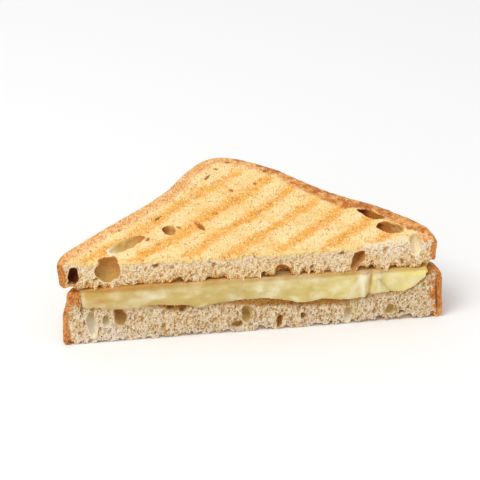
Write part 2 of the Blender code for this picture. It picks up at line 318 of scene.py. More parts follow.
def lip_sag(across):
    """How far the cheese's lower lip sags along the cut."""
    sags = ((-0.0600, 0.0030, 0.0011), (-0.0203, 0.0024, 0.0009), (0.0160, 0.0060, 0.0010), (0.0315, 0.0080, 0.0017))
    return sum(drop * bump(across, centre, reach) for centre, reach, drop in sags)


class PitMap:
    """How deep the air cells go that open on a flat face, on a fine grid over that face."""

    def __init__(self, low, high, step=0.0001):
        self.low = np.array(low)
        self.step = step
        columns, rows = np.ceil((np.array(high) - self.low) / step).astype(int) + 2
        self.depth = np.zeros((rows, columns))

    def open_cell(self, centre, radii, offset=0.0, turn=0.0, ragged=0.0, deepest=None):
        """Opens an ellipsoid cell whose middle lies offset (a share of its radius) behind the face."""
        centre = np.asarray(centre)
        reach = max(radii) * (1 + 2 * ragged)
        first = np.maximum(np.floor((centre - reach - self.low) / self.step).astype(int), 0)
        last = np.ceil((centre + reach - self.low) / self.step).astype(int) + 1
        patch = self.depth[first[1]:last[1], first[0]:last[0]]
        if not patch.size:
            return
        v, u = np.mgrid[first[1]:first[1] + patch.shape[0], first[0]:first[0] + patch.shape[1]]
        u = u * self.step + self.low[0] - centre[0]
        v = v * self.step + self.low[1] - centre[1]
        along = (u * math.cos(turn) + v * math.sin(turn)) / radii[0]
        across = (v * math.cos(turn) - u * math.sin(turn)) / radii[1]
        angle = np.arctan2(across, along)
        phase = centre.sum() * 9000
        wall = 1 + ragged * (np.sin(3 * angle + phase) + 0.6 * np.sin(5 * angle + 2 * phase))
        room = 1 - (along**2 + across**2) / wall**2
        bowl = (np.sqrt(np.clip(room, 0, None)) + offset) * (deepest or min(radii))
        np.maximum(patch, np.where(room > offset * offset, bowl, 0), out=patch)

    def scatter(self, rng, count, radius, spread, stretch, offsets, upright):
        """Opens random cells. upright is how far, in radians, their long axes stray from upright."""
        high = self.low + self.step * np.array(self.depth.shape[::-1])
        places = rng.uniform(self.low, high, (count, 2))
        sizes = radius * np.exp(rng.normal(0, spread, count))
        stretches = rng.uniform(1, stretch, count)
        turns = rng.normal(math.pi / 2, upright, count)
        depths = rng.uniform(*offsets, count)
        for index in range(count):
            radii = (sizes[index] * stretches[index], sizes[index])
            self.open_cell(places[index], radii, depths[index], turns[index])

    def at(self, u, v):
        column = np.clip((u - self.low[0]) / self.step, 0, self.depth.shape[1] - 1.001)
        row = np.clip((v - self.low[1]) / self.step, 0, self.depth.shape[0] - 1.001)
        i, j = row.astype(int), column.astype(int)
        a, b = row - i, column - j
        near = self.depth[i, j] * (1 - b) + self.depth[i, j + 1] * b
        far = self.depth[i + 1, j] * (1 - b) + self.depth[i + 1, j + 1] * b
        return near * (1 - a) + far * a


# --- skins ------------------------------------------------------------------------------------------------------


def merged_copy(node):
    """A CAD node's mesh with its loose triangles joined."""
    mesh = bmesh.new()
    mesh.from_mesh(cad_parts[node].data)
    bmesh.ops.remove_doubles(mesh, verts=mesh.verts, dist=1e-6)
    return mesh


def evaluated(mesh, name, prepare):
    """The mesh that an object would have once the modifiers that prepare adds have run."""
    data = bpy.data.meshes.new(name)
    mesh.to_mesh(data)
    mesh.free()
    holder = bpy.data.objects.new(name, data)
    bpy.context.scene.collection.objects.link(holder)
    prepare(holder)
    finished = bpy.data.meshes.new_from_object(holder.evaluated_get(bpy.context.evaluated_depsgraph_get()))
    bpy.data.objects.remove(holder)
    bpy.data.meshes.remove(data)
    result = bmesh.new()
    result.from_mesh(finished)
    bpy.data.meshes.remove(finished)
    return result


def remeshed(mesh, step):
    def prepare(holder):
        remesh = holder.modifiers.new("skin", "REMESH")
        remesh.mode = "VOXEL"
        remesh.voxel_size = step
    return evaluated(mesh, "skin", prepare)


def thinned(mesh, picks, left):
    """Joins the faces round the points that picks(point) picks into fewer, larger ones."""
    def prepare(holder):
        group = holder.vertex_groups.new(name="thinned")
        chosen = [vertex.index for vertex in holder.data.vertices if picks(vertex.co)]
        group.add(chosen, 1.0, "REPLACE")
        decimate = holder.modifiers.new("thinner", "DECIMATE")
        decimate.ratio = 1 - (1 - left) * len(chosen) / len(holder.data.vertices)
        decimate.vertex_group = "thinned"
        decimate.vertex_group_factor = 1000
    return evaluated(mesh, "thinned", prepare)


def refined(mesh, wanted):
    """Splits the faces that wanted(face) picks into four."""
    edges = {edge for face in mesh.faces if wanted(face) for edge in face.edges}
    bmesh.ops.subdivide_edges(mesh, edges=list(edges), cuts=1, use_grid_fill=True)
    return mesh


class Skin:
    """A mesh as arrays: where its points are, which way they face, and which of them are joined."""

    def __init__(self, mesh):
        self.data = bpy.data.meshes.new("skin")
        mesh.to_mesh(self.data)
        mesh.free()
        count = len(self.data.vertices)
        self.points = np.empty(count * 3)
        self.data.vertices.foreach_get("co", self.points)
        self.points = self.points.reshape(-1, 3)
        self.edges = np.empty(len(self.data.edges) * 2, int)
        self.data.edges.foreach_get("vertices", self.edges)
        self.edges = self.edges.reshape(-1, 2)
        self.joined = np.maximum(np.bincount(self.edges.ravel(), minlength=count), 1)

    @property
    def across(self):
        return self.points[:, 0] - MIDDLE

    @property
    def behind(self):
        return self.points[:, 1] - CUT

    @property
    def height(self):
        return self.points[:, 2]

    def normals(self):
        self.store()
        normals = np.empty(len(self.points) * 3)
        self.data.vertices.foreach_get("normal", normals)
        return normals.reshape(-1, 3)

    def store(self):
        self.data.vertices.foreach_set("co", self.points.ravel())
        self.data.update()

    def averaged(self, values):
        """Each point's mean of its neighbours' values."""
        first, second = self.edges.T
        total = np.bincount(first, values[second], len(values)) + np.bincount(second, values[first], len(values))
        return total / self.joined

    def relax(self, weight, rounds):
        for _ in range(rounds):
            for axis in range(3):
                mean = self.averaged(self.points[:, axis])
                self.points[:, axis] += (mean - self.points[:, axis]) * weight

    def keep(self, name, values):
        """Keeps a value for each point, which the material reads."""
        attribute = self.data.attributes.new(name, "FLOAT", "POINT")
        attribute.data.foreach_set("value", values.astype(np.float32))


def finished_piece(name, skin, material, node):
    """Turns a skin into the piece that stands for a CAD node."""
    skin.store()
    skin.data.name = name
    skin.data.materials.append(material)
    skin.data.shade_smooth()
    piece = bpy.data.objects.new(name, skin.data)
    bpy.context.scene.collection.objects.link(piece)
    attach(piece, "root")
    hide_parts(node)
    return piece


# --- finishes ---------------------------------------------------------------------------------------------------


class Value:
    """A value in a material. Sums, differences and products of values add Math nodes."""

    def __init__(self, finish, socket):
        self.finish = finish
        self.socket = socket

    def maths(self, operation, *values, clamp=False):
        settings = {"operation": operation, "use_clamp": clamp}
        return self.finish.node("ShaderNodeMath", settings, dict(enumerate(values)))

    def __add__(self, other):
        return self.maths("ADD", self, other)

    def __sub__(self, other):
        return self.maths("SUBTRACT", self, other)

    def __rsub__(self, other):
        return self.maths("SUBTRACT", other, self)

    def __mul__(self, other):
        return self.maths("MULTIPLY", self, other)

    __radd__ = __add__
    __rmul__ = __mul__

    def clamped(self):
        return self.maths("ADD", self, 0.0, clamp=True)

    def smooth(self, low, high):
        """Rises smoothly from 0 at low to 1 at high, or falls where low is above high."""
        ends = {1: low, 2: high} if low < high else {1: high, 2: low, 3: 1.0, 4: 0.0}
        return self.finish.node("ShaderNodeMapRange", {"interpolation_type": "SMOOTHSTEP"}, {0: self, **ends})


class Finish:
    """A material that is being made from nodes."""

    def __init__(self, name):
        self.material = bpy.data.materials.new(name)
        self.material.use_nodes = True
        self.tree = self.material.node_tree
        self.tree.nodes.clear()
        self.place = self.node("ShaderNodeTexCoord", output="Object")

    def node(self, kind, settings=None, inputs=None, output=0):
        """Adds a node: its settings first, then the values or links of its inputs."""
        node = self.tree.nodes.new(kind)
        for name, setting in (settings or {}).items():
            setattr(node, name, setting)
        for name, value in (inputs or {}).items():
            if isinstance(value, Value):
                self.tree.links.new(value.socket, node.inputs[name])
            else:
                node.inputs[name].default_value = value
        return Value(self, node.outputs[output]) if node.outputs else None

    def kept(self, name):
        """A value that the skin keeps for each of its points."""
        return self.node("ShaderNodeAttribute", {"attribute_name": name}, output="Fac")

    def scaled(self, scale, turn=(0, 0, 0)):
        """The place on the piece, turned and then scaled."""
        turned = self.node(
            "ShaderNodeVectorRotate", {"rotation_type": "EULER_XYZ"}, {"Vector": self.place, "Rotation": turn}
        )
        return self.node("ShaderNodeVectorMath", {"operation": "MULTIPLY"}, {0: turned, 1: scale})

    def noise(self, size, detail=2.0, roughness=0.5, place=None, distortion=0.0):
        """Soft noise from 0 to 1, whose spots are about size across, in metres."""
        inputs = {"Scale": 1 / size, "Detail": detail, "Roughness": roughness, "Distortion": distortion}
        return self.node("ShaderNodeTexNoise", None, {"Vector": place or self.place, **inputs})

    def cells(self, size, place=None, feature="F1"):
        """How far each place is from the middle of its cell, or from the cell's wall."""
        inputs = {"Vector": place or self.place, "Scale": 1 / size}
        return self.node("ShaderNodeTexVoronoi", {"feature": feature}, inputs)

    def mixed(self, share, first, second, blend="MIX"):
        settings = {"data_type": "RGBA", "blend_type": blend}
        return self.node("ShaderNodeMix", settings, {0: share, 6: first, 7: second}, output=2)

    def bumped(self, height, distance, strength=1.0):
        return self.node("ShaderNodeBump", None, {"Height": height, "Distance": distance, "Strength": strength})

    def surface(self, **inputs):
        """Ends the material in one shader. An input's name has _ for each space."""
        named = {name.replace("_", " "): value for name, value in inputs.items()}
        shader = self.node("ShaderNodeBsdfPrincipled", None, named)
        self.node("ShaderNodeOutputMaterial", None, {"Surface": shader})
        return self.material


def crumb_colour(finish, crumb, threads, grain, fine, patches):
    """Open crumb: pale cell walls with painted shade down in the cells, and the larger holes' own brown with painted
    shade.
    """
    pore, hollow, brown_and_shade, toast_and_arch_shade = (finish.kept(name) for name in ("pore", "hollow", "brown_and_shade", "toast_and_arch_shade"))
    stain, gold, lip, shaded, chalk = (finish.kept(name) for name in ("stain", "gold", "lip", "shaded", "chalk"))
    dots = finish.noise(0.00036, 1, 0.5)
    strands = finish.noise(0.0007, 2, 0.6, finish.scaled((1.0, 1.0, 0.42)), 0.5)
    # Down in the cells the walls turn to the deep colour: painted shade in the cells, mixed with random tone.
    depth = pore * 0.7 + (strands - 0.5) * 1.6 + (dots - 0.5) * 1.7
    walls = finish.mixed((depth + 0.34).smooth(-0.15, 0.95), crumb.pale, crumb.deep)
    walls = finish.mixed((patches * 0.7 + grain * 0.3).smooth(0.5, 0.75) * 0.35, walls, tint(214, 180, 124))
    walls = finish.mixed(strands.smooth(0.46, 0.32) * 0.3, walls, tint(255, 238, 208))
    walls = finish.mixed(threads * 0.95, walls, tint(255, 238, 205))
    walls = finish.mixed(chalk * (1 - pore * 0.7) * 0.6, walls, tint(255, 243, 224))
    walls = finish.mixed(stain * 0.6, walls, tint(228, 204, 140))
    walls = finish.mixed((gold + (grain - 0.5) * 1.2).smooth(0.15, 0.95) * 0.85, walls, tint(255, 222, 150))
    walls = finish.mixed((shaded + (grain - 0.5) * 0.4).smooth(0.05, 0.75) * 0.92, walls, tint(186, 122, 36))
    # The holes' insides go from pale to dark brown: their own brown, with painted shade in the darker and deeper
    # holes.
    inner = finish.mixed((brown_and_shade + (patches - 0.5) * 0.2).smooth(0.0, 0.25), tint(255, 240, 206), tint(218, 182, 108))
    inner = finish.mixed((brown_and_shade + (patches - 0.5) * 0.35).smooth(0.25, 0.75), inner, tint(190, 118, 46))
    inner = finish.mixed((brown_and_shade + (grain - 0.5) * 0.2).smooth(0.75, 0.98), inner, tint(108, 44, 14))
    walls = finish.mixed((hollow + (grain - 0.5) * 0.4).smooth(0.3, 0.7), walls, inner)
    walls = finish.mixed(lip * 0.75, walls, tint(250, 232, 190))
    # Toasted crumb against the cheese, with painted shade in the arches over the cheese.
    toast_and_shade = finish.mixed((dots * 0.5 + strands * 0.5).smooth(0.40, 0.60), tint(255, 198, 112), tint(150, 76, 8))
    return finish.mixed((toast_and_arch_shade + (dots - 0.5) * 0.9).smooth(0.1, 0.9) * 0.92, walls, toast_and_shade)


def toast_colour(finish, toast, grain, fine, patches):
    """The toasted face: soft golden stripes, fine dark dashes and an orange rim."""
    stripe, rim, slit = (finish.kept(name) for name in ("stripe", "rim", "slit"))
    mottle = finish.noise(0.0028, 3, 0.6, distortion=0.4)
    dashes = finish.noise(0.00062, 1, 0.5, finish.scaled((1.25, 0.5, 1.0)))
    sparse = finish.noise(0.0017, 2, 0.5, finish.scaled((1.0, 0.7, 1.0)))
    lines = (stripe * 1.05 + (mottle - 0.5) * 1.5 + (patches - 0.5) * 0.7).smooth(0.25, 1.15)
    field = finish.mixed(patches.smooth(0.38, 0.7), toast.pale, tint(250, 204, 126))
    field = finish.mixed((mottle * 0.6 + grain * 0.4).smooth(0.5, 0.68) * 0.45, field, tint(249, 196, 112))
    field = finish.mixed(lines * 0.92, field, toast.golden)
    field = finish.mixed((lines * 0.9 + (sparse - 0.5) * 1.4).smooth(0.74, 1.2) * 0.6, field, toast.burnt)
    edge = finish.mixed((grain * 0.5 + mottle * 0.5).smooth(0.4, 0.62), tint(248, 196, 130), tint(228, 150, 80))
    field = finish.mixed((rim + (patches - 0.5) * 0.6 + (mottle - 0.5) * 0.4).smooth(0.3, 0.9), field, edge)
    marks = dashes.smooth(0.54, 0.68) * (0.28 + sparse.smooth(0.45, 0.62) * 0.55 + rim * 0.15)
    field = finish.mixed(marks, field, tint(198, 122, 50))
    glints = dashes.smooth(0.46, 0.30) * 0.6
    field = finish.mixed(glints, field, tint(255, 240, 194))
    # Darker down in the slits: painted shade.
    return finish.mixed(slit.smooth(0.15, 0.75), field, tint(176, 104, 36))


def crust_colour(finish, toast, grain, fine, patches):
    """The leathery crust: paler where it bends over to the toasted face, and orange at the cut's two ends."""
    side, glow = finish.kept("side"), finish.kept("glow")
    broad = finish.noise(0.022, 3, 0.5, finish.scaled((1, 1, 1.8)))
    leather = finish.mixed(broad.smooth(0.4, 0.66), toast.crust, tint(126, 66, 38))
    leather = finish.mixed(patches.smooth(0.45, 0.75) * 0.6, leather, tint(208, 138, 84))
    leather = finish.mixed((fine * 0.6 + grain * 0.4).smooth(0.5, 0.66) * 0.5, leather, tint(222, 160, 108))
    leather = finish.mixed(grain.smooth(0.42, 0.3) * 0.4, leather, tint(96, 46, 26))
    orange = finish.mixed((fine * 0.5 + grain * 0.5).smooth(0.42, 0.6), tint(242, 166, 80), tint(192, 104, 38))
    orange = finish.mixed((patches * 0.4 + fine * 0.6).smooth(0.53, 0.62) * 0.7, orange, tint(246, 208, 158))
    orange = finish.mixed(grain.smooth(0.42, 0.34) * 0.6, orange, tint(132, 66, 26))
    leather = finish.mixed(glow * 0.9, leather, orange)
    bend = finish.mixed((grain * 0.5 + patches * 0.5).smooth(0.4, 0.62), tint(240, 168, 84), tint(196, 112, 42))
    blotch = finish.noise(0.0030, 3, 0.6)
    bend = finish.mixed(blotch.smooth(0.5, 0.62) * 0.55, bend, tint(252, 206, 138))
    bend = finish.mixed(blotch.smooth(0.48, 0.34) * 0.75, bend, tint(158, 86, 34))
    bend = finish.mixed(fine.smooth(0.54, 0.7) * 0.6, bend, tint(136, 70, 34))
    bend = finish.mixed(fine.smooth(0.42, 0.28) * 0.5, bend, tint(246, 196, 140))
    return finish.mixed(side, bend, leather)


def bread_finish(name, crumb, toast, shade):
    """Toast, crust and open crumb in one material. The skin's kept values say which is where."""
    finish = Finish(name)
    toasted, crust = finish.kept("toasted"), finish.kept("crust")
    fine = finish.noise(0.00045, 2, 0.6)
    grain = finish.noise(0.0009, 3, 0.6)
    patches = finish.noise(0.009, 3, 0.55)
    shared = (grain, fine, patches)
    web = finish.noise(0.0009, 2, 0.6, finish.scaled((1.0, 1.0, 0.5)), 0.6) - 0.5
    threads = (web * web).smooth(0.0036, 0.0002) * (1 - finish.kept("pore") * 0.6)

    colour = finish.mixed(1.0, crumb_colour(finish, crumb, threads, *shared), shade, "MULTIPLY")
    turn = (toasted + (grain - 0.5) * 1.1).smooth(0.3, 0.75)
    colour = finish.mixed(turn, colour, toast_colour(finish, toast, *shared))
    leather = (crust + (grain - 0.5) * 0.4).smooth(0.3, 0.7)
    colour = finish.mixed(leather, colour, crust_colour(finish, toast, *shared))
    relief = finish.bumped(fine * 0.5 + grain + threads * (1 - turn) * 0.15, 0.0003)
    return finish.surface(
        Base_Color=colour, Roughness=0.8 - leather * 0.22, Normal=relief, Subsurface_Weight=0.1,
        Subsurface_Radius=(1.0, 0.6, 0.3), Subsurface_Scale=0.0010, Specular_IOR_Level=0.25,
    )


def cheese_finish(settings):
    """Smooth yellow cheese with paler, milkier streaks and painted highlights, and painted shade under the toast,
    along the lower lip and in the creases.
    """
    finish = Finish("melted cheese")
    milk_and_highlight, cheese_shade, clear, dusky = (finish.kept(name) for name in ("milk_and_highlight", "cheese_shade", "clear", "dusky"))
    streaks = finish.noise(0.010, 3, 0.5, finish.scaled((0.5, 1.0, 1.6)), 0.3)
    patches = finish.noise(0.005, 3, 0.55)
    fine = finish.noise(0.0007, 2, 0.5)
    clouds = finish.noise(0.0044, 2, 0.5, finish.scaled((0.8, 1.0, 1.1)), 0.2)
    base = finish.mixed(dusky, settings.yellow, tint(204, 164, 76))
    base = finish.mixed(clear * 0.95, base, tint(252, 234, 144))
    # Paler streaks and milky patches, with painted highlights on the drip and on the fold's ridges.
    colour = finish.mixed((streaks + milk_and_highlight * 0.5).smooth(0.42, 0.7) * 0.7, base, settings.milky)
    colour = finish.mixed(clouds.smooth(0.46, 0.72) * (1 - clear * 0.8) * 0.75, colour, tint(198, 170, 92))
    colour = finish.mixed(clouds.smooth(0.52, 0.28) * (1 - dusky * 0.8) * 0.8, colour, tint(240, 230, 186))
    colour = finish.mixed((milk_and_highlight + (clouds - 0.5) * 0.8).smooth(0.3, 1.1) * 0.8, colour, tint(244, 236, 206))
    # Painted shade: browner under the toast, along the lower lip and in the creases.
    colour = finish.mixed((cheese_shade + (patches - 0.5) * 0.5).smooth(0.2, 1.0) * 0.85, colour, tint(186, 126, 38))
    relief = finish.bumped(fine * 0.3 + patches, 0.0004)
    return finish.surface(
        Base_Color=colour, Roughness=patches * 0.2 + settings.roughness - 0.1, Normal=relief,
        Subsurface_Weight=0.3, Subsurface_Radius=(1.0, 0.7, 0.3), Subsurface_Scale=0.0020,
        Coat_Weight=0.12, Coat_Roughness=0.3, Specular_IOR_Level=0.4,
    )


# --- the slices -------------------------------------------------------------------------------------------------


def from_outline(skin):
    """How far each point lies inside the bread's crust, all round but along the cut."""
    middle = np.array((0.0, 0.022))
    flat = np.column_stack((skin.across, skin.behind))
    angles = np.arctan2(*(flat - middle).T[::-1])
    reach = np.linalg.norm(flat - middle, axis=1)
    count = 900
    sector = ((angles + math.pi) / (2 * math.pi) * count).astype(int) % count
    order = np.lexsort((-reach, sector))
    first = np.unique(sector[order], return_index=True)[1]
    outline = flat[order[first]]
    at_crust = (np.abs(outline).sum(axis=1) > HALF_DIAGONAL - 0.012) & (outline[:, 1] > 0.0004)
    outline = outline[at_crust]
    tree = KDTree(len(outline))
    for index, (across, behind) in enumerate(outline):
        tree.insert((across, behind, 0), index)
    tree.balance()
    return np.array([tree.find((across, behind, 0))[2] for across, behind in flat])


def hollow_reach(skin, hollow):
    """How far each point lies from a hollow's middle, where 1 is the hollow's wall."""
    x, y, z, *radii, turn, lean, _ = hollow
    turned = Matrix.Rotation(math.radians(turn), 3, "Z") @ Matrix.Rotation(math.radians(lean), 3, "Y")
    place = np.column_stack((skin.across, skin.behind, skin.height))
    return np.linalg.norm((place - (x, y, z + LEAN * x)) @ np.array(turned) / radii, axis=1)


def shade_shift(hollow, across, height):
    """Painted shade: how much darker a hollow's inside is painted here than in its middle."""
    x, y, z, wide, _, tall, turn, _, dark = hollow
    if dark > 0.9:
        return np.zeros(len(across))
    if y < 0.004:
        return np.clip(0.16 * (height - z - LEAN * across) / tall, -0.25, 0.25)
    return np.clip((0.30 if turn > 0 else -0.30) * (across - x) / (0.7 * wide), -0.35 if turn > 0 else -0.12, 0.30)


def stripes_at(across, behind, pitch, wobble):
    """The grill's stripes: 1 along the middle of each, 0 half way to the next."""
    side = (across - behind) / math.sqrt(2) + wobble
    return 0.5 + 0.5 * np.cos(2 * math.pi * (side - 0.0053) / pitch)


class SlicePlan:
    """What the two slices of bread differ in."""

    def __init__(self, node, hollows, cut_holes, slits, toasted_up, shade, seed):
        self.node = node
        self.shade = shade
        self.hollows = hollows
        self.cut_holes = cut_holes
        self.slits = slits
        self.toasted_up = toasted_up
        self.seed = seed


def crumb_pits(plan, crumb, low, high):
    """The open cells of the cut face, over how far across and how high it reaches."""
    rng = np.random.default_rng(plan.seed + crumb.cell_seed)
    pits = PitMap(low, high)
    upright = 0.45 if plan.toasted_up else 0.22
    stretch = 2.2 if plan.toasted_up else 2.6
    pits.scatter(rng, 6800, crumb.fine_radius, 0.3, stretch, (-0.1, 0.9), upright)
    pits.scatter(rng, 340, crumb.coarse_radius, 0.3, stretch, (-0.2, 0.3), upright)
    return pits


def cut_holes(plan, low, high):
    """The larger holes of the cut face that the solids don't have."""
    holes = PitMap(low, high)
    for across, height, wide, tall, turn, _ in plan.cut_holes:
        ragged = 0.10 if tall < 3 * wide else 0.0
        centre = (across, height + LEAN * across)
        holes.open_cell(centre, (wide, tall), 0.2, math.radians(turn), ragged, 0.0018 if wide > 0.0009 else 0.0011)
    return holes


def toast_slits(plan):
    slits = PitMap((-HALF_DIAGONAL, 0.0), (HALF_DIAGONAL, HALF_DIAGONAL))
    for across, behind, long, wide, turn, depth in plan.slits:
        slits.open_cell((across, behind), (long, wide), 0.0, math.radians(turn), 0.0, depth)
    return slits


def slice_skin(plan, crumb):
    """The slice's skin: coarse where nobody sees it, fine along the cut."""
    def hidden(place):
        across, behind = place.x - MIDDLE, place.y - CUT
        outer = HALF_DIAGONAL - abs(across) - behind
        inner = upper_inner if plan.toasted_up else lower_inner
        return abs(place.z - inner(across, behind)) < 0.0012 and outer > 0.016 and behind > 0.009

    def away_from_cut(place):
        return place.y - CUT > 0.0035

    left = 0.52 if plan.toasted_up else 0.33
    mesh = remeshed(merged_copy(plan.node), crumb.skin_step)
    mesh = thinned(mesh, hidden, 0.08)
    mesh = thinned(mesh, away_from_cut, left)
    return Skin(refined(mesh, lambda face: face.calc_center_median().y < CUT + 0.0005))


def round_top_edge(skin, noise, behind, under_toast):
    """Rounds the cut's upper edge unevenly. Gives how far the edge sank."""
    radius = 0.0012 + 0.0007 * noise.along(skin.across, 0.0023) + 0.0003 * noise.along(skin.across, 0.0009)
    share = np.clip(1 - behind / radius, 0, 1)
    sunk = radius * (1 - np.sqrt(1 - share * share)) * 0.4
    skin.points[:, 2] -= sunk * (1 - smoothstep(0.0, 0.0030, under_toast))
    return sunk


def arches_at(noise, across):
    """How high the edge over the cheese arches along the cut, from 0."""
    return np.clip(noise.along(across, 0.0034) + 0.5 * noise.along(across, 0.0014) + 0.1, 0, None)


def arch_over_cheese(skin, noise, behind, from_cheese):
    """Lifts the edge over the cheese into low arches with crumbs between them."""
    across = skin.across.copy()
    arches = arches_at(noise, across)
    knobs = np.clip(noise.along(across, 0.0013) + 0.6 * noise.along(across, 0.0006) + 0.25, 0, 1)
    knobs = knobs * (1 - np.clip(arches * 1.6, 0, 1)) * (1 - smoothstep(0.0003, 0.0018, behind))
    rough = noise.fractal(skin.points, 0.0008, 2) * 0.00025
    front = 1 - smoothstep(0.0, 0.0045, behind)
    low_share = 1 - smoothstep(0.0, 0.0030, from_cheese)
    skin.points[:, 2] += (arches * 0.0015 + rough) * low_share * front - knobs * 0.0008 * low_share
    skin.points[:, 1] -= knobs * 0.0008 * (1 - smoothstep(0.0004, 0.0018, from_cheese))


def fray_bottom_edge(skin, noise, behind, under_toast):
    """Frays the lower slice's bottom edge along the cut."""
    across = skin.across.copy()
    gaps = np.clip(noise.along(across, 0.0026) + 0.7 * noise.along(across, 0.0011) + 0.25, 0, None)
    front = 1 - smoothstep(0.0006, 0.0040, behind)
    skin.points[:, 2] += gaps * 0.0013 * (1 - smoothstep(0.0, 0.0040, under_toast)) * front


def raise_left_crust(skin, behind):
    """Takes the lower slice's left crust up to the upper slice, with a steep wall beside the cheese."""
    across, height = skin.across.copy(), skin.height.copy()
    level = lower_inner(across, behind)
    front = 1 - smoothstep(0.0045, 0.0075, behind)
    wanted = np.maximum(level, 0.0208 - 0.25 * np.clip(-across - 0.0650, 0, None))
    raised = level + (wanted - level) * smoothstep(0.0612, 0.0622, -across) * front
    share = smoothstep(0.35, 1.0, np.clip(height / level, 0, 1))
    skin.points[:, 2] += (raised - level) * share
    skin.points[:, 0] += 0.0014 * smoothstep(0.0120, 0.0180, skin.height) * smoothstep(0.0600, 0.0640, -across)


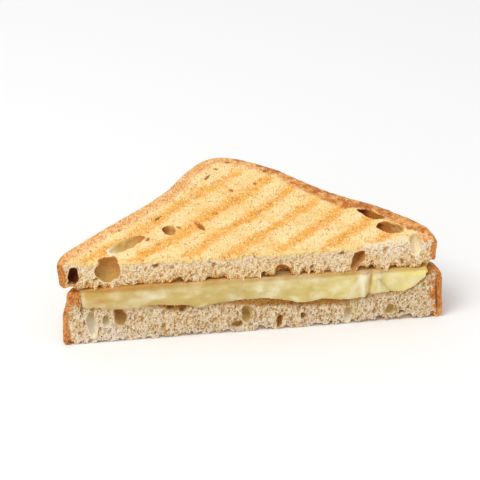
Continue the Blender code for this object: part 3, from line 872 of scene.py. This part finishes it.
def make_slice(plan, crumb, toast):
    skin = slice_skin(plan, crumb)
    noise = Noise(plan.seed)
    across, behind = skin.across.copy(), skin.behind.copy()
    low, high = skin.points.min(axis=0), skin.points.max(axis=0)
    inside = from_outline(skin)
    facing = skin.normals()
    if plan.toasted_up:
        under_toast = upper_outer(across, behind) - skin.height
        from_cheese = skin.height - upper_inner(across, behind)
    else:
        under_toast = skin.height - low[2]
        from_cheese = lower_inner(across, behind) - skin.height
        raise_left_crust(skin, behind)
    place = skin.points.copy()
    height = skin.height.copy()
    toast_side = 1 if plan.toasted_up else -1

    # How dark each hole is inside: painted shade over its own brown.
    hollow, brown_and_shade = np.zeros(len(place)), np.full(len(place), 0.4)
    reaches = [hollow_reach(skin, entry) for entry in plan.hollows]
    for entry, reach in zip(plan.hollows, reaches):
        hollow = np.maximum(hollow, smoothstep(1.22, 1.04, reach))
        brown_and_shade = np.where(reach < 1.3, entry[-1] + shade_shift(entry, across, height), brown_and_shade)
    for hole_across, hole_height, wide, tall, _, dark in plan.cut_holes:
        away = np.hypot((across - hole_across) / wide, (height - hole_height - LEAN * across) / tall)
        brown_and_shade = np.where((away < 1.6) & (hollow < 0.1), dark, brown_and_shade)

    # the hollows' walls stray a little from round
    by_hollow = np.zeros(len(place))
    for reach in reaches:
        by_hollow = np.maximum(by_hollow, smoothstep(0.5, 0.9, reach) * smoothstep(1.7, 1.2, reach))
    for axis in (0, 1, 2):
        inward = smoothstep(0.0, 0.0012, behind) if axis == 1 else 1.0
        stray = noise(place + 0.01 * (axis + 1), 0.0026) * 0.00055 + noise(place + 0.02 * (axis + 1), 0.0011) * 0.00030
        skin.points[:, axis] += by_hollow * stray * inward * (smoothstep(0.0, 0.0012, under_toast) if axis == 2 else 1.0)

    # the cut edges and the hollows' rims are soft
    soft = 1 - smoothstep(0.0, 0.0012, behind)
    skin.relax(0.5 * soft, 3)

    # cells that the knife opened. They go on over the edge onto the toasted face.
    near_cut = (1 - smoothstep(0.0, 0.0040, behind)) * smoothstep(0.0, 0.0012, inside)
    on_toast = 1 - smoothstep(0.0, 0.0012, under_toast)
    reach_on = 0.0024 + 0.0011 * noise.along(across, 0.0031) + 0.0006 * noise.along(across, 0.0012)
    edge = (1 - smoothstep(0.3, 1.0, behind / reach_on)) * on_toast
    low_face = (low[0] - MIDDLE, low[2] - 0.004)
    high_face = (high[0] - MIDDLE, high[2] + 0.004)
    pits = crumb_pits(plan, crumb, low_face, high_face)
    holes = cut_holes(plan, low_face, high_face)
    unrolled = height + toast_side * behind * on_toast
    pit = pits.at(across, unrolled) * (1 - 0.8 * hollow) * (1.0 if plan.toasted_up else 1.3)
    hole = holes.at(across, height) * (1 - hollow)
    swell = np.clip(noise.fractal(place * (1, 1, 0.5), 0.005, 3), 0, None) * 0.0002
    skin.points[:, 1] += near_cut * (pit + swell + hole)

    if plan.toasted_up:
        sunk = round_top_edge(skin, noise, behind, under_toast)
        arch_over_cheese(skin, noise, behind, from_cheese)
    else:
        fray_bottom_edge(skin, noise, behind, under_toast)

    # toasted face: stripes pressed by the grill, slits and small lumps
    wobble = noise.fractal(place, 0.02, 2) * 0.0011
    stripe = stripes_at(across, behind, toast.stripe_pitch, wobble)
    lumps = noise.fractal(place, 0.0016, 3) * 0.00012 + noise.fractal(place, 0.007, 2) * 0.00018
    stray = noise(place, 0.0011) * 0.00035
    slit = toast_slits(plan).at(across + stray, behind - stray) * (1 - hollow)
    sink = stripe * toast.stripe_depth * smoothstep(0.004, 0.010, inside) - lumps
    sink = (sink + pit * edge * 0.8) * (1 - smoothstep(0.0, 0.0030, under_toast)) + slit * on_toast
    skin.points[:, 2] -= toast_side * (sink if plan.toasted_up else np.clip(sink, 0, None))

    # wrinkles of the crust
    on_side = (1 - smoothstep(0.0, 0.0016, inside)) * smoothstep(0.0, 0.002, behind)
    wrinkle = noise.fractal(place * (1, 1, 0.6), 0.0028, 3) * 0.00022
    skin.points -= facing * (on_side * (np.abs(wrinkle) + 0.00002))[:, None]
    skin.points[:, 2] = np.clip(skin.points[:, 2], low[2], high[2])

    # what is where, for the material
    back = smoothstep(0.0015, 0.0080, behind)
    right_width = 0.0026 + (0.0012 + 0.0052 * smoothstep(0.008, 0.036, across)) * back
    right_width = right_width + 0.0018 * bump(across, 0.030, 0.012)
    left_width = 0.0009 + 0.0029 * smoothstep(-0.0560, -0.0620, across) * (1 - back)
    leather_width = np.where(across > 0, right_width, left_width)
    ragged = noise.fractal(place, 0.0016, 2)
    hole_share = smoothstep(0.0008, 0.0015, hole)
    skin.keep("pore", np.clip(pit / 0.0006, 0, 1) * np.maximum(near_cut, edge))
    skin.keep("hollow", np.maximum(hollow, hole_share))
    skin.keep("brown_and_shade", brown_and_shade)
    skin.keep("toast_and_arch_shade", toast_and_arch_shading(plan, noise, across, behind, from_cheese))
    skin.keep("chalk", chalky(noise, plan, across, height))
    skin.keep("shaded", 0 * behind if plan.toasted_up else shade_under_lip(noise, across, from_cheese))
    skin.keep("toasted", toasting(plan, noise, across, behind, under_toast, ragged) * (1 - smoothstep(0.3, 0.7, hollow)))
    skin.keep("stripe", stripe * smoothstep(0.002, 0.010, inside))
    skin.keep("slit", smoothstep(0.0001, 0.0007, slit))
    skin.keep("rim", 1 - smoothstep(0.0030, 0.0095, inside))
    crust = 1 - smoothstep(0.40, 1.05, (inside + ragged * 0.0009) / leather_width)
    outwards = (facing[:, 0] * across + facing[:, 1] * (behind - 0.022)) / np.hypot(across, behind - 0.022)
    low_edge = 0.0012 if plan.toasted_up else -0.0015
    at_side = smoothstep(low_edge, low_edge + 0.0015, under_toast) * smoothstep(0.0004, 0.0016, behind)
    crust = np.maximum(crust, smoothstep(0.30, 0.60, outwards) * at_side * (1 - by_hollow)) * (1 - hollow)
    if not plan.toasted_up:
        column = smoothstep(-0.0608, -0.0620, across) * smoothstep(0.0145, 0.0165, height + 0.0006 * ragged)
        corner = smoothstep(0.0590, 0.0625, across) * (1 - back) * (0.52 + 0.6 * ragged)
        crust = np.maximum(crust, np.maximum(column * (0.75 + 0.5 * ragged), corner))
    skin.keep("crust", crust)
    skin.keep("glow", smoothstep(0.045, 0.058, np.abs(across)) * (1 - 0.8 * smoothstep(0.004, 0.018, behind)))
    skin.keep("stain", stained(noise, plan, across, height))
    skin.keep("gold", golding(plan, noise, across, under_toast))
    skin.keep("lip", hollow_lip(plan, skin, reaches))
    skin.keep("side", smoothstep(0.0008, 0.0042, under_toast + 0.0006 * ragged))
    return skin


def toasting(plan, noise, across, behind, under_toast, ragged):
    """The toasted face, and how its brown fades towards the open crumb."""
    if not plan.toasted_up:
        return (1 - smoothstep(0.0, 0.0009, under_toast + ragged * 0.0005)) * smoothstep(0.0, 0.0020, behind)
    bare = 0.0010 * noise.along(across, 0.0065) + 0.0013 * noise.along(across, 0.0018)
    bare = bare + 0.0014 * smoothstep(0.034, 0.042, across) + 0.0005 * bump(across, 0.0010, 0.010)
    fade = smoothstep(0.0, 0.0020, behind - bare + ragged * 0.0020)
    under = 1 - smoothstep(0.0002, 0.0020, under_toast + ragged * 0.0010)
    return under * (0.36 - 0.26 * smoothstep(0.033, 0.040, across)) * (1 - fade) + under * fade


def toast_and_arch_shading(plan, noise, across, behind, from_cheese):
    """Where the face against the cheese is toasted too, and how far its brown shows at the cut. On the upper slice it
    is stronger and reaches further under the arches: painted shade there.
    """
    below = from_cheese + noise.along(across, 0.0011) * 0.0004
    if not plan.toasted_up:
        return 1 - smoothstep(0.1, 1.15, below / 0.0006)
    # Stronger and reaching further under the arches: painted shade over the toast.
    arch = np.clip(arches_at(noise, across) * 2, 0, 1)
    reach = 0.0019 + 0.0009 * arch + 0.0008 * noise.along(across, 0.0030)
    return (1 - smoothstep(0.1, 1.15, below / reach)) * (0.6 + 0.4 * arch)


def shade_under_lip(noise, across, from_cheese):
    """How dark the lower slice's crumb is right below the cheese's lip."""
    share = np.clip(0.25 + bump(across, 0.014, 0.022) + 0.6 * bump(across, -0.029, 0.006), 0, 1)
    reach = lip_sag(across) + 0.0014 + 0.0032 * share + 0.0006 * noise.along(across, 0.0015)
    return (1 - smoothstep(0.35, 1.0, from_cheese / reach)) * share


def stained(noise, plan, across, height):
    """Where cheese has soaked into the crumb."""
    if plan.toasted_up:
        return 0.6 * bump(across, 0.0105, 0.0022) * smoothstep(0.0250, 0.0270, height)
    wander = 0.0006 * noise.along(height, 0.0020)
    return bump(across + wander, 0.0347, 0.0013) + 0.4 * bump(across + wander, -0.0380, 0.0010)


def chalky(noise, plan, across, height):
    """Where the crumb is whiter and denser than elsewhere."""
    if plan.toasted_up:
        high = smoothstep(0.0262, 0.0305, height) * (0.55 + 0.35 * smoothstep(0.030, 0.042, across))
        return np.clip(0.5 * bump(across, 0.0475, 0.0030) + 0.5 * bump(across, 0.0265, 0.0030) + high, 0, 1)
    low = bump(across + (height - 0.004) * 0.5, -0.0515, 0.0045) * smoothstep(0.0110, 0.0060, height)
    tufts = smoothstep(0.0045, 0.0010, height) * (0.5 + 0.5 * noise.along(across, 0.0020))
    return np.clip(0.7 * low + 0.5 * bump(across, -0.0590, 0.0012) + 0.6 * tufts, 0, 1)


def golding(plan, noise, across, under_toast):
    """The golden tinge of the crumb right beside the toasted face."""
    reach = 0.0029 + 0.0016 * noise.along(across, 0.0030) + 0.0008 * noise.along(across, 0.0012)
    if not plan.toasted_up:
        return np.zeros(len(across))
    return (1 - smoothstep(0.0, 1.0, under_toast / reach)) * (1 - 0.7 * smoothstep(0.033, 0.040, across))


def hollow_lip(plan, skin, reaches):
    """The pale smooth wall round the lower left side of the cut face's hollows."""
    lip = np.zeros(len(skin.points))
    for entry, reach in zip(plan.hollows, reaches):
        if entry[1] < 0.004:
            aside = skin.height - entry[2] - LEAN * entry[0] + skin.across - entry[0]
            share = 1.0 if entry[3] > 0.0040 else 0.6
            ring = smoothstep(0.98, 1.04, reach) * smoothstep(1.34, 1.2, reach)
            lip = np.maximum(lip, share * ring * smoothstep(0.0, -0.5 * entry[3], aside))
    return lip


UPPER_PLAN = SlicePlan("upper_bread_slice", UPPER_HOLLOWS, UPPER_CUT_HOLES, TOP_SLITS, True, tint(255, 253, 250), 11)
LOWER_PLAN = SlicePlan("lower_bread_slice", LOWER_HOLLOWS, LOWER_CUT_HOLES, (), False, tint(243, 246, 255), 23)


class MakeUpperSlice(bpy.types.Operator):
    """Toasts the upper slice: striped on top, open crumb along the cut"""

    bl_idname = "sandwich.upper_slice"
    bl_label = "Upper slice"

    def execute(self, context):
        scene = context.scene
        skin = make_slice(UPPER_PLAN, scene.crumb, scene.toast)
        finish = bread_finish("upper bread", scene.crumb, scene.toast, UPPER_PLAN.shade)
        finished_piece("upper_toast", skin, finish, UPPER_PLAN.node)
        return {"FINISHED"}


class MakeLowerSlice(bpy.types.Operator):
    """Toasts the lower slice: striped underneath, open crumb along the cut"""

    bl_idname = "sandwich.lower_slice"
    bl_label = "Lower slice"

    def execute(self, context):
        scene = context.scene
        skin = make_slice(LOWER_PLAN, scene.crumb, scene.toast)
        finish = bread_finish("lower bread", scene.crumb, scene.toast, LOWER_PLAN.shade)
        finished_piece("lower_toast", skin, finish, LOWER_PLAN.node)
        return {"FINISHED"}


# --- the cheese -------------------------------------------------------------------------------------------------


def square_ends(skin, low_limit, high_limit):
    """Blunts the cheese's two ends at the cut, where the crust stops it."""
    across, behind = skin.across.copy(), skin.behind.copy()
    front = 1 - smoothstep(0.006, 0.011, behind)
    radius, start = 0.0070, 0.0566
    way = np.clip(np.abs(across) - start, 0, radius * 0.98)
    arc = radius - np.sqrt(radius**2 - way**2)
    skin.points[:, 1] -= 0.85 * arc * (1 - smoothstep(0.0, 0.0060, behind - arc))
    stopped = np.where(across < low_limit, low_limit + (across - low_limit) * 0.05, across)
    stopped = np.where(across > high_limit, high_limit + (across - high_limit) * 0.05, stopped)
    skin.points[:, 0] += (stopped - across) * front


def hang_lip(skin, behind, level):
    """Lets the lower lip sag over the lower slice in a few places."""
    low_share = 1 - smoothstep(0.0, 0.0055, skin.height - level)
    skin.points[:, 2] -= lip_sag(skin.across) * low_share * (1 - smoothstep(0.0006, 0.0016, behind))


def valley_share(skin):
    """How deep each point lies in the creases near the right end: an upright one and a slanting one."""
    across, height = skin.across, skin.height
    slant = (across - 0.0410) + (height - 0.0180) * 0.75
    crease = bump(slant, 0.0022, 0.0007) * smoothstep(0.0195, 0.0170, height) * (across > 0.0395)
    return np.maximum(0.8 * bump(across - 0.12 * (height - 0.0160), 0.0402, 0.0008), 0.6 * crease)


def fold_face(skin, behind):
    """The folds near the right end: two ridges and the creases beside them."""
    across, height = skin.across, skin.height
    ridge = bump(across, 0.0380, 0.0012)
    lobe = bump(across, 0.0432, 0.0009) * smoothstep(0.0165, 0.0185, height)
    push = 0.0008 * ridge + 0.0006 * lobe - 0.0012 * valley_share(skin)
    skin.points[:, 1] -= push * (1 - smoothstep(0.0010, 0.0035, behind))


class MakeCheese(bpy.types.Operator):
    """Melts the cheese between the slices"""

    bl_idname = "sandwich.cheese"
    bl_label = "Melted cheese"

    def execute(self, context):
        settings = context.scene.cheese
        skin = Skin(remeshed(merged_copy("melted_cheese"), settings.skin_step))
        noise = Noise(5)
        skin.relax(0.5, 6)
        square_ends(skin, -0.0618, 0.0600)
        skin.relax(0.5, 2)
        facing = skin.normals()
        across, behind, height = skin.across.copy(), skin.behind.copy(), skin.height.copy()
        swell = noise.fractal(skin.points * (0.6, 1, 1), 0.007, 3) * 0.00035 + noise(skin.points, 0.0024) * 0.00012
        upright = np.abs(facing[:, 2])
        meet = 0.00060 * smoothstep(0.5, 0.9, upright) * (1 - smoothstep(0.004, 0.012, behind))
        skin.points += facing * (swell + meet)[:, None]
        hang_lip(skin, behind, lower_inner(across, behind))
        fold_face(skin, behind)

        at_cut = 1 - smoothstep(0.001, 0.004, behind)
        # Milky patches, with painted highlights on the drip at -0.0200 and on the fold's ridges.
        milk_and_highlight = bump(across, -0.0366, 0.0030) * bump(height, 0.0178, 0.0016) + 0.8 * bump(across, 0.0375, 0.0012)
        milk_and_highlight = milk_and_highlight + 0.7 * bump(across - (height - 0.014) * 0.8, 0.0330, 0.0016) + 0.8 * bump(across, 0.0432, 0.0008)
        milk_and_highlight = milk_and_highlight + 0.6 * bump(across, -0.0200, 0.0014) * bump(height, 0.0130, 0.0012)
        above = height - (ROOF_LEVEL + (LEAN + 0.008) * across)
        left_share = 0.75 + 0.25 * smoothstep(-0.0250, -0.0550, across)
        milk_and_highlight = milk_and_highlight + 0.5 * bump(across, -0.0606, 0.0010)
        skin.keep("milk_and_highlight", milk_and_highlight * at_cut)
        # Painted shade on the cheese: under the upper slice, along the lower lip, at the left end's top and in the
        # creases.
        lip = smoothstep(-0.0002, -0.0009, height - lower_inner(across, behind) + lip_sag(across))
        cheese_shade = np.maximum(smoothstep(-0.0032, -0.0002, above) * left_share, 0.75 * lip)
        cheese_shade = np.maximum(cheese_shade, 0.65 * bump(across, -0.0550, 0.0036) * bump(height, 0.0172, 0.0017))
        skin.keep("cheese_shade", np.maximum(cheese_shade, 0.85 * valley_share(skin)) * at_cut)
        clear = 0.35 * smoothstep(0.0, 0.030, across) + 0.65 * smoothstep(0.040, 0.056, across)
        skin.keep("clear", np.maximum(clear * at_cut, 1 - at_cut))
        skin.keep("dusky", (0.3 + 0.7 * smoothstep(-0.030, -0.056, across)) * smoothstep(0.0, -0.040, across) * at_cut)
        finished_piece("oozing_cheese", skin, cheese_finish(settings), "melted_cheese")
        return {"FINISHED"}


class MakeStage(bpy.types.Operator):
    """Sets out the floor, the light and the camera"""

    bl_idname = "sandwich.stage"
    bl_label = "Floor, light and camera"

    def execute(self, context):
        settings = context.scene.stage
        scene = context.scene
        mesh = bmesh.new()
        bmesh.ops.create_grid(mesh, x_segments=1, y_segments=1, size=3.0)
        data = bpy.data.meshes.new("floor")
        mesh.to_mesh(data)
        mesh.free()
        floor = bpy.data.objects.new("floor", data)
        paint = Finish("plain floor")
        shade = paint.mixed(paint.noise(0.4), tint(250, 250, 250), tint(247, 247, 247))
        data.materials.append(paint.surface(Base_Color=shade, Roughness=0.9))
        scene.collection.objects.link(floor)
        floor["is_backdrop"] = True

        world = bpy.data.worlds.new("studio")
        world.use_nodes = True
        world.node_tree.nodes["Background"].inputs["Color"].default_value = (1.0, 1.0, 1.0, 1.0)
        world.node_tree.nodes["Background"].inputs["Strength"].default_value = settings.sky
        scene.world = world

        low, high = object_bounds()
        middle = (low + high) / 2
        lamp("key light", middle + Vector((-0.45, -0.38, 1.0)), middle, 0.6, settings.key_power)

        camera = bpy.data.objects.new("camera", bpy.data.cameras.new("camera"))
        camera.data.lens = 180
        camera.data.sensor_width = 36
        turn, tip = settings.azimuth, settings.elevation
        back = Vector((math.sin(turn) * math.cos(tip), -math.cos(turn) * math.cos(tip), math.sin(tip)))
        camera.location = middle + back * settings.distance
        upright = (-back).to_track_quat("-Z", "Y")
        camera.rotation_euler = (upright @ Quaternion((0, 0, 1), settings.roll)).to_euler()
        scene.collection.objects.link(camera)
        scene.camera = camera
        scene.view_settings.view_transform = "Standard"
        return {"FINISHED"}


def lamp(name, place, target, size, power):
    light = bpy.data.lights.new(name, "AREA")
    light.energy = power
    light.size = size
    holder = bpy.data.objects.new(name, light)
    holder.location = place
    holder.rotation_euler = (target - place).to_track_quat("-Z", "Y").to_euler()
    bpy.context.scene.collection.objects.link(holder)


class SandwichPanel(bpy.types.Panel):
    """Lists the steps that make the sandwich"""

    bl_idname = "VIEW3D_PT_sandwich"
    bl_label = "Grilled cheese sandwich"
    bl_space_type = "VIEW_3D"
    bl_region_type = "UI"
    bl_category = "Sandwich"

    def draw(self, context):
        for settings in (context.scene.crumb, context.scene.toast, context.scene.cheese, context.scene.stage):
            box = self.layout.box()
            for name in settings.__annotations__:
                box.prop(settings, name)
        for operator in OPERATORS:
            self.layout.operator(operator.bl_idname)


SETTINGS = {"crumb": CrumbSettings, "toast": ToastSettings, "cheese": CheeseSettings, "stage": StageSettings}
OPERATORS = (MakeUpperSlice, MakeLowerSlice, MakeCheese, MakeStage)


def register():
    for kind in (*SETTINGS.values(), *OPERATORS, SandwichPanel):
        bpy.utils.register_class(kind)
    for name, kind in SETTINGS.items():
        setattr(bpy.types.Scene, name, PointerProperty(type=kind))


def unregister():
    for name in SETTINGS:
        delattr(bpy.types.Scene, name)
    for kind in reversed((*SETTINGS.values(), *OPERATORS, SandwichPanel)):
        bpy.utils.unregister_class(kind)


def main():
    register()
    bpy.ops.sandwich.upper_slice()
    bpy.ops.sandwich.lower_slice()
    bpy.ops.sandwich.cheese()
    bpy.ops.sandwich.stage()


if __name__ == "__main__":
    main()
